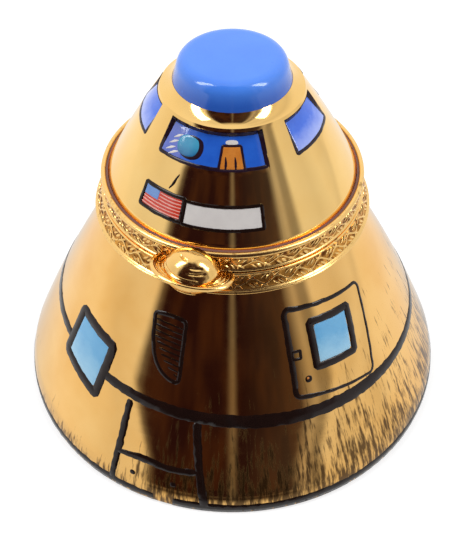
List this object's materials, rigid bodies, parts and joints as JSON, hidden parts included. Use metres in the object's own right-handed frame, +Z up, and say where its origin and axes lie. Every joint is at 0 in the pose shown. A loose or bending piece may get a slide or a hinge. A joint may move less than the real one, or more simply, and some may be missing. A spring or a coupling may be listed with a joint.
{
  "type": "hinged porcelain trinket box in the shape of a space capsule",
  "caption": "Small gold-glazed porcelain trinket box shaped as a conical space capsule, with a lid hinged at the back on engraved brass bands and a ringed-planet clasp.",
  "frame": {"origin": "centre of the underside, on the surface that the box stands on", "axes": "+Z up through the cap, -Y towards the clasp at the front, +Y towards the hinge, +X to the right of someone facing the clasp"},
  "size_m": [0.062, 0.062, 0.0531],
  "materials": {
    "gilded_porcelain": "bright gold lustre fired over glazed porcelain, white glaze inside",
    "gilt_brass": "gilt brass, stamped leaf ornament between polished lips",
    "blue_enamel": "glossy blue overglaze enamel",
    "dark_enamel": "brushed brown-black overglaze line",
    "light_enamel": "glossy pale overglaze enamel",
    "red_enamel": "glossy red overglaze enamel"
  },
  "bodies": {
    "base": {"base_shell": "gilded_porcelain", "base_band": "gilt_brass", "base_hinge": "gilt_brass", "hinge_pin": "gilt_brass", "catch_bead": "gilt_brass"},
    "lid": {"lid_shell": "gilded_porcelain", "lid_band": "gilt_brass", "lid_hinge": "gilt_brass", "clasp_planet": "gilt_brass", "clasp_ring": "gilt_brass"}
  },
  "joints": [
    {"name": "lid_hinge", "type": "hinge", "parent": "base", "child": "lid", "pos_m": [0, 0.01888, 0.0333], "axis": [-1, 0, 0], "range_deg": [0, 105]}
  ]
}
